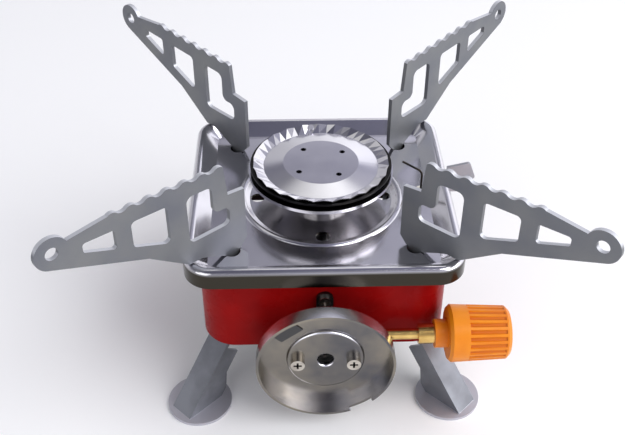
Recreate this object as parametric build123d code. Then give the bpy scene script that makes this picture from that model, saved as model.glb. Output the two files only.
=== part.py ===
from build123d import *
import os
from math import asin, atan2, cos, degrees, hypot, radians, sin, sqrt, tan

# A folding gas stove for camping. X points right, Y points away from the viewer, Z points up.
# The origin lies on the ground under the burner's axis. Lengths are millimetres, angles are degrees.

# Clearances
CUT_OVERRUN = 2.0
RUNNING_GAP = 0.05
SEAT_GAP = 0.03
PART_GAP = 0.3

# Heights of the stand
TRAY_FLOOR_Z = 59.5
HOUSING_BOTTOM_Z = 26.0

# Drip tray
TRAY_HALF = 47.0
TRAY_CORNER_R = 10.0
TRAY_SHEET = 0.8
TRAY_RIM_W = 8.0
TRAY_BEAD_R = 2.0
TRAY_BEAD_RISE = 4.0
TRAY_SKIRT_DROP = 2.8
TRAY_TAIL = 1.0
RING_BEAD_R = 28.5
RING_BEAD_W = 2.6
RING_BEAD_RISE = 0.6
RECESS_DEPTH = 1.0
RECESS_SLOPE_W = 1.4
AIR_HOLE_R = 2.5
AIR_HOLE_CIRCLE_R = 22.9
AIR_HOLE_COUNT = 4

# Housing
TRAY_OVERHANG = 4.6
HOUSING_CORNER_R = 12.0
HOUSING_SHEET = 0.8
HOUSING_TOP_OPENING_R = 31.0

# Pan arms. S runs outward from the pivot, Z rises from the tray floor.
ARM_PIVOT_INSET = 15.9
ARM_SHEET = 1.5
ARM_TONGUE_W = 5.6
ARM_TONGUE_DROP = 4.5
ARM_INNER_S = -6.1
ARM_INNER_CHAMFER_S = -3.4
ARM_INNER_CHAMFER_Z = 3.5
ARM_INNER_TOP_Z = 23.7
ARM_STEP_S = 0.6
ARM_STEP_Z = 24.4
ARM_FIRST_TOOTH_S = 3.4
ARM_TOOTH_PITCH = 6.4
ARM_TOOTH_COUNT = 7
ARM_TOOTH_TOP_Z = 36.4
ARM_TOOTH_RISE = 0.3
ARM_TOOTH_DEPTH = 1.2
ARM_NECK_S = 56.6
ARM_NECK_Z = 36.3
ARM_EYE_S = 62.0
ARM_EYE_Z = 34.1
ARM_EYE_R = 5.5
ARM_EYE_HOLE_R = 2.1
ARM_KNEE_S = 31.8
ARM_KNEE_Z = 15.2
ARM_HEEL_S = 17.4
ARM_HEEL_TOE_S = 12.6
ARM_HEEL_Z = 4.5
ARM_RISE_S = 9.2
ARM_RISE_Z = 3.2
ARM_SHOULDER_S = 3.4
ARM_EDGE_BELOW_WINDOW = 5.2
ARM_TOP_BAND = 6.2
ARM_WINDOW_FILLET = 1.7
ARM_ROOT_WINDOW_FILLET = 2.4
ARM_OUTER_WINDOW_S0 = 41.8
ARM_OUTER_WINDOW_S1 = 52.6
ARM_MIDDLE_WINDOW_S0 = 23.3
ARM_MIDDLE_WINDOW_S1 = 36.3
ARM_ROOT_WINDOW_S0 = 0.3
ARM_ROOT_WINDOW_STEP_S = 6.5
ARM_ROOT_WINDOW_S1 = 16.4
ARM_ROOT_WINDOW_BOTTOM_Z = 12.7
ARM_ROOT_WINDOW_STEP_Z = 19.7
RETAINER_R = 4.5
RETAINER_SHEET = 0.8
TOOTH_FLANK_SHARE = 0.25
WINDOW_END_SHARE = 0.33
ARM_SPLAY_ANGLES = {"front_left": -4.8, "front_right": 3.6, "back_left": -1.5, "back_right": 0.9}
CORNER_SIDE_SHARES = {"front_left": (-1, -1), "front_right": (1, -1),
                      "back_left": (-1, 1), "back_right": (1, 1)}

# Folding legs. R runs outward along the diagonal, T runs along the hinge pin.
LEG_PIN_SETBACK = 4.1
LEG_PIN_RISE = 3.5
LEG_PIN_R = 1.25
LEG_PIN_HEAD_R = 2.0
LEG_PIN_HEAD_H = 0.8
LEG_SLOPE = 49.5
LEG_W = 9.2
LEG_SHEET = 1.2
LEG_BARREL_R = 2.2
LEG_WEB_START = 9.0
LEG_WEB_SHALLOW = 7.0
LEG_WEB_SHALLOW_END = 18.0
LEG_WEB_DEEP = 11.0
LEG_WEB_DEEP_START = 24.0
FOOT_REACH = 16.0
FOOT_R = 11.5
FOOT_SHEET = 1.2
BRACKET_CORNER_GAP = 2.4
BRACKET_SHEET = 1.2
BRACKET_LIFT = 1.4
BRACKET_H = 8.6
BRACKET_EAR_R = 3.2

# Burner. Heights rise from the tray floor.
CROWN_FLAT_R = 13.4
CROWN_FLAT_Z = 14.6
CROWN_VALLEY_R = 20.2
CROWN_VALLEY_Z = 13.4
CROWN_SHEET = 0.6
CROWN_HOLE_R = 1.0
CROWN_HOLE_CIRCLE_R = 9.9
CROWN_HOLE_COUNT = 4
CROWN_HOLE_AZIMUTH = 37.5
FLUTE_COUNT = 24
FLUTE_SHEET = 0.4
CREST_REACH = 3.6
CREST_RISE = 2.0
TROUGH_REACH = 3.9
TROUGH_RISE = 1.4
TAB_R = 1.2
TAB_PROUD = 0.35
TAB_AZIMUTH = 97.5
TAB_HEIGHT_SHARE = 0.7
RING_WALL_INSET = 1.6
RING_WALL = 0.8
RING_SEAT_INSET = 0.6
RING_FLANGE_REACH = 1.0
RING_FLANGE_H = 0.5
BOWL_NECK_R = 11.0
BOWL_NECK_H = 2.5
BOWL_LIP_REACH = 0.6
BOWL_LIP_Z = 12.0
BOWL_LIP_H = 1.2
BOWL_WALL = 1.0
BOWL_BASE_H = 3.5
TUBE_R = 7.0
TUBE_WALL = 1.0
TUBE_BOTTOM_Z = 43.5
TUBE_WINDOW_BOTTOM_Z = 51.0
TUBE_WINDOW_H = 3.0
TUBE_WINDOW_W = 6.0
NUT_FLATS = 19.0
NUT_H = 3.0
JET_HOLDER_TOP_Z = 50.0
JET_R = 2.4
JET_H = 2.2
JET_BORE_R = 0.4
JET_TIP_R = 1.2

# Gas pipe
PIPE_R = 2.0
PIPE_BORE_R = 1.2
PIPE_BEND_R = 6.0
PIPE_LOW_Z = 38.1
PIPE_HIGH_Z = 47.0
PIPE_LOW_RUN_IN = 8.4
PIPE_CLIMB_RUN = 7.0
PIPE_SOCKET_DEPTH = 1.6
PIPE_HOLE_GAP = 0.3
PIPE_NUT_FLATS = 8.0
PIPE_NUT_H = 3.0

# Valve, connector and knob on the front wall
STRAP_HALF_W = 2.9
STRAP_SHEET = 1.2
STRAP_BOTTOM_Z = 29.1
STRAP_TOP_Z = 50.7
STRAP_SCREW_Z = 47.6
STRAP_SCREW_R = 1.25
STRAP_SCREW_HEAD_R = 2.1
STRAP_SCREW_HEAD_H = 1.2
STRAP_SCREW_TAIL = 3.0
VALVE_LEFT_X = -12.0
VALVE_RIGHT_X = 14.0
VALVE_DEPTH = 8.7
VALVE_BOTTOM_Z = 21.1
VALVE_TOP_Z = 41.1
VALVE_EDGE_R = 1.0
SPINDLE_Y_FROM_STRAP = 3.9
SPINDLE_Z = 35.1
SPINDLE_R = 1.9
SPINDLE_IN_X = 5.0
SPINDLE_TIP_R = 0.6
SPINDLE_TIP_L = 2.0
GLAND_FLATS = 6.8
GLAND_L = 3.0
SEAL_R = 2.8
SEAL_L = 1.6
FERRULE_L = 5.5
FERRULE_R = 3.5
KNOB_INSET = 5.2
COLLAR_R = 4.9
COLLAR_L = 4.4
KNOB_R = 9.9
KNOB_END_R = 9.1
KNOB_L = 20.8
KNOB_EDGE = 1.0
KNOB_DOME = 1.2
KNOB_BORE_L = 14.0
GROOVE_COUNT = 24
GROOVE_R = 0.8
GROOVE_PROUD = 0.4
GROOVE_START = 6.6
GROOVE_END = 19.0
CUP_Z = 29.9
CUP_R = 23.6
CUP_WALL = 0.9
CUP_FLOOR = 0.7
CUP_H = 5.5
CUP_EDGE_R = 0.6
BOSS_R = 13.3
BOSS_H = 1.2
BOSS_EDGE_R = 1.1
INLET_R = 2.7
INLET_MOUTH_R = 0.9
INLET_DEPTH = 4.0
INLET_WELL_R = 3.2
LUG_AZIMUTH = 128.0
LUG_L = 9.0
LUG_W = 5.2
LUG_SHEET = 0.7
LUG_TILT = 14.0
RIM_GAP_AZIMUTH = 303.0
RIM_GAP_W = 9.0
RIM_GAP_DEPTH = 1.6
CUP_SCREW_X = 9.5
CUP_SCREW_R = 1.4
CUP_SCREW_HEAD_R = 2.4
CUP_SCREW_HEAD_H = 2.4
CUP_SCREW_GRIP = 4.0
RECESS_W = 0.7
RECESS_L = 2.8
SCREW_RECESS_DEPTH = 0.9
INLET_SEAL_H = 1.2
INLET_SEAL_BORE_R = 1.6
INLET_PIN_R = 0.7
INLET_PIN_FOOT_H = 0.6

# Igniter
ELECTRODE_INSET = 10.6
ELECTRODE_Y = -0.5
ELECTRODE_R = 0.4
ELECTRODE_BEND_Z = 9.9
ELECTRODE_BEND_R = 2.5
ELECTRODE_TIP_Y = 1.6
ELECTRODE_TIP_Z = 13.0
SPARK_GAP = 4.2
ELECTRODE_IN = 3.0
INSULATOR_R = 1.8
INSULATOR_COLLAR_R = 2.4
INSULATOR_COLLAR_H = 0.8
INSULATOR_RISE = 2.4
INSULATOR_DROP = 7.5
INSULATOR_HOLE_GAP = 0.15
LEAD_R = 0.8
LEAD_BEND_R = 2.5
LEAD_Z = 45.0
PIEZO_Y = 10.0
PIEZO_HALF_W = 5.5
PIEZO_DEPTH = 11.0
PIEZO_BOTTOM_Z = 27.0
PIEZO_TOP_Z = 49.0
PIEZO_EDGE_R = 1.5
PLUNGER_R = 2.5
PLUNGER_RISE = 4.0
PLUNGER_IN = 5.0
PLUNGER_TRAVEL = 3.5
LEVER_SHEET = 1.2
LEVER_ARM_H = 2.5
LEVER_FLAG_W = 8.4
LEVER_FLAG_FLARE = 2.4
LEVER_FLAG_INNER_Z = 63.9
LEVER_FLAG_OUTER_Z = 65.9
LEVER_FLAG_H = 6.4
LEVER_TOE_W = 4.6
LEVER_CORNER_R = 1.0
PIEZO_SCREW_Z = 36.0
PIEZO_SCREW_R = 1.2
PIEZO_SCREW_HEAD_R = 2.2
PIEZO_SCREW_HEAD_H = 1.2
PIEZO_SCREW_GRIP = 4.0

# Places worked out from the values above
HOUSING_TOP_Z = TRAY_FLOOR_Z - TRAY_SHEET
HOUSING_PLATE_Z = HOUSING_TOP_Z - HOUSING_SHEET
HOUSING_HALF = TRAY_HALF - TRAY_OVERHANG
HOUSING_INNER = HOUSING_HALF - HOUSING_SHEET
HOUSING_INNER_CORNER_R = HOUSING_CORNER_R - HOUSING_SHEET
CORNER_REACH = (HOUSING_INNER - HOUSING_INNER_CORNER_R) * sqrt(2) + HOUSING_INNER_CORNER_R
BRACKET_PLAN_R = CORNER_REACH - BRACKET_CORNER_GAP
BRACKET_BOTTOM_Z = HOUSING_BOTTOM_Z + BRACKET_LIFT
BRACKET_TOP_Z = BRACKET_BOTTOM_Z + BRACKET_H
LEG_PIN_PLAN_R = BRACKET_PLAN_R - LEG_PIN_SETBACK
LEG_PIN_Z = HOUSING_BOTTOM_Z + LEG_PIN_RISE
FOOT_PLAN_R = LEG_PIN_PLAN_R + FOOT_REACH
ARM_PIVOT_OFFSET = TRAY_HALF - ARM_PIVOT_INSET
ELECTRODE_X = TRAY_HALF - ELECTRODE_INSET
KNOB_X = HOUSING_HALF - KNOB_INSET
FERRULE_X = KNOB_X - FERRULE_L
PIPE_LOW_END_Y = PIPE_LOW_RUN_IN - HOUSING_HALF
PIPE_HIGH_START_Y = PIPE_LOW_END_Y + PIPE_CLIMB_RUN
ARM_HOLE_R = hypot(ARM_TONGUE_W / 2, ARM_SHEET / 2) + RUNNING_GAP
INSULATOR_HOLE_R = INSULATOR_R + INSULATOR_HOLE_GAP
TUBE_HOLE_R = TUBE_R + SEAT_GAP
PIPE_HOLE_R = PIPE_R + PIPE_HOLE_GAP
STRAP_FRONT_Y = -(HOUSING_HALF + STRAP_SHEET)
VALVE_FRONT_Y = STRAP_FRONT_Y - VALVE_DEPTH
SPINDLE_Y = STRAP_FRONT_Y - SPINDLE_Y_FROM_STRAP
SPINDLE_HOLE_R = SPINDLE_R + RUNNING_GAP
BOSS_TOP = CUP_FLOOR + BOSS_H
EAR_INNER_T = LEG_W / 2 + PART_GAP
EAR_OUTER_T = EAR_INNER_T + BRACKET_SHEET
PLUNGER_X = HOUSING_INNER - PIEZO_DEPTH / 2
PLUNGER_TOP_Z = PIEZO_TOP_Z + PLUNGER_RISE
RECESS_TOP_Z = TRAY_FLOOR_Z - RECESS_DEPTH
CREST_R = CROWN_VALLEY_R + CREST_REACH
CREST_Z = CROWN_VALLEY_Z + CREST_RISE
TROUGH_R = CROWN_VALLEY_R + TROUGH_REACH
TROUGH_Z = CROWN_VALLEY_Z + TROUGH_RISE
RING_WALL_R = TROUGH_R - RING_WALL_INSET
RING_SEAT_R = TROUGH_R - RING_SEAT_INSET
RING_FLANGE_R = TROUGH_R + RING_FLANGE_REACH
BOWL_LIP_R = RING_FLANGE_R + BOWL_LIP_REACH
BOWL_SLOPE = (BOWL_LIP_Z - BOWL_LIP_H + RECESS_DEPTH - BOWL_NECK_H) / (BOWL_LIP_R - BOWL_NECK_R)
FLUTE_SINK = (CROWN_SHEET - FLUTE_SHEET) / 2
TROUGH_SLOPE = (TROUGH_Z - CROWN_VALLEY_Z + FLUTE_SINK) / (TROUGH_R - CROWN_VALLEY_R)


def drum(radius, bottom, top):
    """A round bar standing on the Z axis."""
    bar = Cylinder(radius, top - bottom, align=(Align.CENTER, Align.CENTER, Align.MIN))
    return Pos(0, 0, bottom) * bar


def block(x0, x1, y0, y1, z0, z1):
    """A box between two corners."""
    centre = Pos((x0 + x1) / 2, (y0 + y1) / 2, (z0 + z1) / 2)
    return centre * Box(x1 - x0, y1 - y0, z1 - z0)


def turned(points):
    """A solid turned about the Z axis from radius and height points."""
    return revolve(Plane.XZ * make_face(Polyline(*points, close=True)), Axis.Z)


def upright_plate(points, thickness):
    """A plate in the XZ plane, centred on it."""
    return extrude(Plane.XZ * make_face(Polyline(*points, close=True)), thickness / 2, both=True)


def rounded_prism(half, corner, bottom, top):
    """A square prism with rounded corners."""
    return Pos(0, 0, bottom) * extrude(RectangleRounded(half * 2, half * 2, corner), top - bottom)


def hex_nut(flats, bottom, top, bore):
    """A six-sided nut on the Z axis."""
    body = extrude(RegularPolygon(flats / 2, 6, major_radius=False), top - bottom)
    return Pos(0, 0, bottom) * body - drum(bore, bottom - CUT_OVERRUN, top + CUT_OVERRUN)


def rod(points, bend, radius):
    """A round rod along straight runs joined by bends."""
    path = FilletPolyline(*points, radius=bend)
    return sweep(Plane(origin=path @ 0, z_dir=path % 0) * Circle(radius), path=path)


def along_x(shape, y, z):
    """Lay a shape built on the Z axis along X."""
    return Pos(0, y, z) * Rot(0, 90, 0) * shape


def facing_viewer(shape, y, z):
    """Turn a shape built on the Z axis to face the viewer."""
    return Pos(0, y, z) * Rot(90, 0, 0) * shape


def arm_holes(bottom, top):
    """Cutters for the four arm tongues."""
    hole = drum(ARM_HOLE_R, bottom, top)
    sides = CORNER_SIDE_SHARES.values()
    return [Pos(x * ARM_PIVOT_OFFSET, y * ARM_PIVOT_OFFSET, 0) * hole for x, y in sides]


def insulator_hole(bottom, top):
    """Cutter for the electrode's insulator."""
    return Pos(ELECTRODE_X, ELECTRODE_Y, 0) * drum(INSULATOR_HOLE_R, bottom, top)


def tray_rim():
    """The rolled rim: a slope, a bead over the top and a skirt, swept round the tray."""
    bead_u = TRAY_RIM_W - TRAY_BEAD_R
    bead_z = TRAY_BEAD_RISE - TRAY_BEAD_R
    slope = atan2(bead_z, bead_u) + asin(TRAY_BEAD_R / hypot(bead_u, bead_z))
    inner_bead_r = TRAY_BEAD_R - TRAY_SHEET
    lean = (-sin(slope), cos(slope))
    top_turn = (cos(radians(45)), sin(radians(45)))
    outward = (1, 0)

    def on_bead(radius, direction):
        return bead_u + radius * direction[0], bead_z + radius * direction[1]

    under_start = (TRAY_SHEET * tan(slope / 2), -TRAY_SHEET)
    outline = Curve() + [
        Polyline((-TRAY_TAIL, 0), (0, 0), on_bead(TRAY_BEAD_R, lean)),
        ThreePointArc(*[on_bead(TRAY_BEAD_R, way) for way in (lean, top_turn, outward)]),
        Polyline(on_bead(TRAY_BEAD_R, outward), (TRAY_RIM_W, -TRAY_SKIRT_DROP),
                 (TRAY_RIM_W - TRAY_SHEET, -TRAY_SKIRT_DROP), on_bead(inner_bead_r, outward)),
        ThreePointArc(*[on_bead(inner_bead_r, way) for way in (outward, top_turn, lean)]),
        Polyline(on_bead(inner_bead_r, lean), under_start, (-TRAY_TAIL, -TRAY_SHEET), (-TRAY_TAIL, 0)),
    ]
    edge = TRAY_HALF - TRAY_RIM_W
    path = FilletPolyline((0, edge, 0), (edge, edge, 0), (edge, -edge, 0), (0, -edge, 0),
                          radius=TRAY_CORNER_R - TRAY_RIM_W)
    profile = Plane(origin=(0, edge, 0), x_dir=(0, 1, 0), z_dir=(1, 0, 0)) * make_face(outline.edges())
    half = sweep(profile, path=path)
    return half + mirror(half, Plane.YZ)


def top_tray():
    """Mirror-steel drip tray with its round bead and recess."""
    edge = TRAY_HALF - TRAY_RIM_W
    bead_in = RING_BEAD_R - RING_BEAD_W / 2
    bead_out = RING_BEAD_R + RING_BEAD_W / 2
    recess_r = bead_in - RECESS_SLOPE_W
    tail_r = bead_out + TRAY_TAIL
    bead = [(bead_in, 0), (RING_BEAD_R, RING_BEAD_RISE), (bead_out, 0)]
    bead_under = [(r, z - TRAY_SHEET) for r, z in reversed(bead)]
    outline = Curve() + [
        Polyline((0, -RECESS_DEPTH), (recess_r, -RECESS_DEPTH), bead[0]),
        ThreePointArc(*bead),
        Polyline(bead[-1], (tail_r, 0), (tail_r, -TRAY_SHEET), bead_under[0]),
        ThreePointArc(*bead_under),
        Polyline(bead_under[-1], (recess_r, -RECESS_DEPTH - TRAY_SHEET),
                 (0, -RECESS_DEPTH - TRAY_SHEET), (0, -RECESS_DEPTH)),
    ]
    dish = revolve(Plane.XZ * make_face(outline.edges()), Axis.Z)
    floor = rounded_prism(edge, TRAY_CORNER_R - TRAY_RIM_W, -TRAY_SHEET, 0)
    floor -= drum(bead_out, -TRAY_SHEET - CUT_OVERRUN, CUT_OVERRUN)
    tray = Pos(0, 0, TRAY_FLOOR_Z) * (tray_rim() + floor + dish)
    low = RECESS_TOP_Z - TRAY_SHEET - CUT_OVERRUN
    high = TRAY_FLOOR_Z + CUT_OVERRUN
    air_hole = Pos(AIR_HOLE_CIRCLE_R, 0, 0) * drum(AIR_HOLE_R, low, high)
    tray -= [Rot(0, 0, 360 * k / AIR_HOLE_COUNT) * air_hole for k in range(AIR_HOLE_COUNT)]
    tray -= arm_holes(low, high)
    tray -= insulator_hole(low, high)
    return tray - drum(TUBE_HOLE_R, low, high)


def housing():
    """Red sheet housing, open underneath, with its cut-outs."""
    body = rounded_prism(HOUSING_HALF, HOUSING_CORNER_R, HOUSING_BOTTOM_Z, HOUSING_TOP_Z)
    body -= rounded_prism(HOUSING_INNER, HOUSING_INNER_CORNER_R,
                          HOUSING_BOTTOM_Z - CUT_OVERRUN, HOUSING_PLATE_Z)
    low = HOUSING_PLATE_Z - CUT_OVERRUN
    high = HOUSING_TOP_Z + CUT_OVERRUN
    body -= drum(HOUSING_TOP_OPENING_R, low, high)
    body -= arm_holes(low, high)
    body -= insulator_hole(low, high)
    wall_cut = HOUSING_SHEET + CUT_OVERRUN
    body -= facing_viewer(drum(PIPE_HOLE_R, -wall_cut, CUT_OVERRUN), -HOUSING_HALF, PIPE_LOW_Z)
    strap_hole = drum(STRAP_SCREW_R + SEAT_GAP, -wall_cut, CUT_OVERRUN)
    body -= facing_viewer(strap_hole, -HOUSING_HALF, STRAP_SCREW_Z)
    slot_half = LEVER_SHEET / 2 + PART_GAP
    body -= block(HOUSING_HALF - wall_cut, HOUSING_HALF + CUT_OVERRUN,
                  PIEZO_Y - slot_half, PIEZO_Y + slot_half,
                  PLUNGER_TOP_Z - PLUNGER_TRAVEL - PART_GAP, PLUNGER_TOP_Z + LEVER_ARM_H + PART_GAP)
    screw_hole = drum(PIEZO_SCREW_R + SEAT_GAP, HOUSING_HALF - wall_cut, HOUSING_HALF + CUT_OVERRUN)
    return body - along_x(screw_hole, PIEZO_Y, PIEZO_SCREW_Z)


def lower_tangent(point, centre, radius):
    """Where a line from the point touches the underside of a circle."""
    run = centre[0] - point[0]
    rise = centre[1] - point[1]
    reach = hypot(run, rise)
    angle = atan2(rise, run) - asin(radius / reach)
    length = sqrt(reach ** 2 - radius ** 2)
    return point[0] + length * cos(angle), point[1] + length * sin(angle)


def tooth_line_z(s):
    """Height of the line over the tops of an arm's teeth, which rises outward."""
    return ARM_TOOTH_TOP_Z + (s - ARM_FIRST_TOOTH_S) * ARM_TOOTH_RISE / ARM_TOOTH_PITCH


def arm_teeth():
    """The toothed top edge: rounded teeth joined by rounded hollows."""
    flank = ARM_TOOTH_PITCH * TOOTH_FLANK_SHARE

    def below_tops(s, drop):
        return s, tooth_line_z(s) - drop

    half_deep = ARM_TOOTH_DEPTH / 2
    edges = []
    for k in range(ARM_TOOTH_COUNT):
        s = ARM_FIRST_TOOTH_S + k * ARM_TOOTH_PITCH
        crown = [below_tops(s - flank, half_deep), below_tops(s, 0), below_tops(s + flank, half_deep)]
        edges.append(ThreePointArc(*crown))
        if k < ARM_TOOTH_COUNT - 1:
            hollow = below_tops(s + ARM_TOOTH_PITCH / 2, ARM_TOOTH_DEPTH)
            next_start = below_tops(s + ARM_TOOTH_PITCH - flank, half_deep)
            edges.append(ThreePointArc(crown[-1], hollow, next_start))
    return edges


def arm_window(points, corner_r):
    """A window with rounded corners."""
    face = make_face(Polyline(*points, close=True))
    return fillet(face.vertices(), corner_r)


def arm():
    """One flat pan arm, pivot on the Z axis, pointing along X."""
    knee = (ARM_KNEE_S, ARM_KNEE_Z)
    eye = (ARM_EYE_S, ARM_EYE_Z)
    touch = lower_tangent(knee, eye, ARM_EYE_R)
    edge_slope = (touch[1] - knee[1]) / (touch[0] - knee[0])
    tongue = ARM_TONGUE_W / 2
    teeth = arm_teeth()
    outline = Curve() + teeth + [
        Polyline(teeth[-1] @ 1, (ARM_NECK_S, ARM_NECK_Z), eye, touch, knee, (ARM_HEEL_S, ARM_HEEL_Z),
                 (ARM_HEEL_TOE_S, ARM_HEEL_Z), (ARM_RISE_S, ARM_RISE_Z), (ARM_SHOULDER_S, PART_GAP),
                 (tongue, PART_GAP), (tongue, -ARM_TONGUE_DROP),
                 (-tongue, -ARM_TONGUE_DROP), (-tongue, PART_GAP),
                 (ARM_INNER_CHAMFER_S, PART_GAP), (ARM_INNER_S, ARM_INNER_CHAMFER_Z),
                 (ARM_INNER_S, ARM_INNER_TOP_Z), (ARM_STEP_S, ARM_STEP_Z), teeth[0] @ 0),
    ]

    def above_edge(s):
        return s, ARM_KNEE_Z + (s - ARM_KNEE_S) * edge_slope + ARM_EDGE_BELOW_WINDOW

    def under_teeth(s):
        return s, tooth_line_z(s) - ARM_TOP_BAND

    face = make_face(outline.edges()) + Pos(*eye) * Circle(ARM_EYE_R)
    face -= Pos(*eye) * Circle(ARM_EYE_HOLE_R)
    outer = (ARM_OUTER_WINDOW_S0, ARM_OUTER_WINDOW_S1)
    middle = (ARM_MIDDLE_WINDOW_S0, ARM_MIDDLE_WINDOW_S1)
    for s0, s1 in (outer, middle):
        end_h = under_teeth(s1)[1] - above_edge(s1)[1]
        corner_r = min(ARM_WINDOW_FILLET, end_h * WINDOW_END_SHARE)
        face -= arm_window([under_teeth(s0), under_teeth(s1), above_edge(s1), above_edge(s0)], corner_r)
    face -= arm_window([(ARM_ROOT_WINDOW_S0, ARM_ROOT_WINDOW_BOTTOM_Z),
                        (ARM_ROOT_WINDOW_S0, ARM_ROOT_WINDOW_STEP_Z),
                        (ARM_ROOT_WINDOW_STEP_S, ARM_ROOT_WINDOW_STEP_Z),
                        under_teeth(ARM_ROOT_WINDOW_STEP_S), under_teeth(ARM_ROOT_WINDOW_S1),
                        (ARM_ROOT_WINDOW_S1, ARM_ROOT_WINDOW_BOTTOM_Z)], ARM_ROOT_WINDOW_FILLET)
    return extrude(Plane.XZ * face, ARM_SHEET / 2, both=True)


def arm_retainer():
    """Push-on washer that keeps an arm's tongue from lifting out."""
    top = HOUSING_PLATE_Z - TRAY_FLOOR_Z - PART_GAP
    washer = drum(RETAINER_R, top - RETAINER_SHEET, top)
    half_w = ARM_TONGUE_W / 2 + SEAT_GAP
    half_t = ARM_SHEET / 2 + SEAT_GAP
    low = top - RETAINER_SHEET - CUT_OVERRUN
    return washer - block(-half_w, half_w, -half_t, half_t, low, top + CUT_OVERRUN)


def diagonal_angle(corner):
    """Direction of a corner's diagonal in plan."""
    x, y = CORNER_SIDE_SHARES[corner]
    return degrees(atan2(y, x))


def on_corner(shape, corner):
    """Set an arm or its retainer in its corner of the tray, swung out as it stands in use."""
    x, y = CORNER_SIDE_SHARES[corner]
    spot = Pos(x * ARM_PIVOT_OFFSET, y * ARM_PIVOT_OFFSET, TRAY_FLOOR_Z)
    return spot * Rot(0, 0, diagonal_angle(corner) + ARM_SPLAY_ANGLES[corner]) * shape


def across_leg(shape):
    """Lay a shape built on the Z axis along a leg's hinge pin."""
    return Pos(LEG_PIN_PLAN_R, 0, LEG_PIN_Z) * Rot(90, 0, 0) * shape


def leg():
    """One channel leg with its hinge barrel and round foot, pointing along X."""
    reach = LEG_PIN_Z / sin(radians(LEG_SLOPE)) + LEG_WEB_DEEP
    half_w = LEG_W / 2
    strip = block(0, reach, -half_w, half_w, -LEG_SHEET / 2, LEG_SHEET / 2)
    web_outline = [(LEG_WEB_START, 0), (LEG_WEB_START, -LEG_WEB_SHALLOW),
                   (LEG_WEB_SHALLOW_END, -LEG_WEB_SHALLOW), (LEG_WEB_DEEP_START, -LEG_WEB_DEEP),
                   (reach, -LEG_WEB_DEEP), (reach, 0)]
    web = upright_plate(web_outline, LEG_SHEET)
    web_t = half_w - LEG_SHEET / 2
    channel = strip + Pos(0, web_t, 0) * web + Pos(0, -web_t, 0) * web
    channel = Pos(LEG_PIN_PLAN_R, 0, LEG_PIN_Z) * Rot(0, LEG_SLOPE, 0) * channel
    far = LEG_PIN_PLAN_R + reach
    channel -= block(0, far, -LEG_W, LEG_W, -reach, 0)
    foot = Pos(FOOT_PLAN_R, 0, 0) * drum(FOOT_R, 0, FOOT_SHEET)
    barrel = across_leg(drum(LEG_BARREL_R, -half_w, half_w))
    bore = across_leg(drum(LEG_PIN_R + RUNNING_GAP, -LEG_W, LEG_W))
    return channel + foot + barrel - bore


def leg_bracket():
    """Hinge bracket across a corner of the housing, with two ears for the pin."""
    plate_in = BRACKET_PLAN_R - BRACKET_SHEET / 2
    plate_out = BRACKET_PLAN_R + BRACKET_SHEET / 2
    plate = block(plate_in, plate_out, -HOUSING_CORNER_R, HOUSING_CORNER_R, BRACKET_BOTTOM_Z, BRACKET_TOP_Z)
    ear = block(LEG_PIN_PLAN_R, plate_in, EAR_INNER_T, EAR_OUTER_T,
                BRACKET_BOTTOM_Z, LEG_PIN_Z + BRACKET_EAR_R)
    ear += across_leg(drum(BRACKET_EAR_R, -EAR_OUTER_T, -EAR_INNER_T))
    bracket = plate + ear + mirror(ear, Plane.XZ)
    bracket -= across_leg(drum(LEG_PIN_R + SEAT_GAP, -HOUSING_CORNER_R, HOUSING_CORNER_R))
    fit = rounded_prism(HOUSING_INNER - SEAT_GAP, HOUSING_INNER_CORNER_R, HOUSING_BOTTOM_Z, HOUSING_PLATE_Z)
    return bracket & Rot(0, 0, 45) * fit


def leg_pin():
    """Hinge pin with a peened head at each end."""
    pin = across_leg(drum(LEG_PIN_R, -EAR_OUTER_T, EAR_OUTER_T))
    head_end = EAR_OUTER_T + LEG_PIN_HEAD_H
    pin += across_leg(drum(LEG_PIN_HEAD_R, EAR_OUTER_T, head_end))
    return pin + across_leg(drum(LEG_PIN_HEAD_R, -head_end, -EAR_OUTER_T))


def bowl_inner_z(radius):
    """Height of the bowl's inner face above the tray floor at a radius."""
    upright_wall = BOWL_WALL * hypot(1, BOWL_SLOPE)
    return BOWL_NECK_H - RECESS_DEPTH + (radius - BOWL_NECK_R) * BOWL_SLOPE + upright_wall


def trough_under_z(radius):
    """Height of the underside of the rim's troughs above the tray floor at a radius."""
    return CROWN_VALLEY_Z - FLUTE_SINK - FLUTE_SHEET + (radius - CROWN_VALLEY_R) * TROUGH_SLOPE


def burner_bowl():
    """Cone bowl that stands on the tray's recess."""
    base_z = BOWL_BASE_H - RECESS_DEPTH
    base_r = BOWL_NECK_R + (base_z - bowl_inner_z(BOWL_NECK_R)) / BOWL_SLOPE
    lip_in = BOWL_LIP_R - BOWL_WALL
    points = [(TUBE_HOLE_R, -RECESS_DEPTH), (BOWL_NECK_R, -RECESS_DEPTH),
              (BOWL_NECK_R, BOWL_NECK_H - RECESS_DEPTH), (BOWL_LIP_R, BOWL_LIP_Z - BOWL_LIP_H),
              (BOWL_LIP_R, BOWL_LIP_Z), (lip_in, BOWL_LIP_Z),
              (lip_in, bowl_inner_z(lip_in)), (base_r, base_z), (TUBE_HOLE_R, base_z)]
    return Pos(0, 0, TRAY_FLOOR_Z) * turned(points)


def burner_ring():
    """Port ring that stands in the bowl and carries the crown."""
    inner_r = RING_WALL_R - RING_WALL
    top = trough_under_z(RING_SEAT_R) - SEAT_GAP
    points = [(inner_r, bowl_inner_z(inner_r) + SEAT_GAP),
              (RING_WALL_R, bowl_inner_z(RING_WALL_R) + SEAT_GAP), (RING_WALL_R, top - RING_FLANGE_H),
              (RING_FLANGE_R, top - RING_FLANGE_H), (RING_FLANGE_R, top), (RING_SEAT_R, top),
              (inner_r, trough_under_z(inner_r) - SEAT_GAP)]
    return Pos(0, 0, TRAY_FLOOR_Z) * turned(points)


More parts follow.
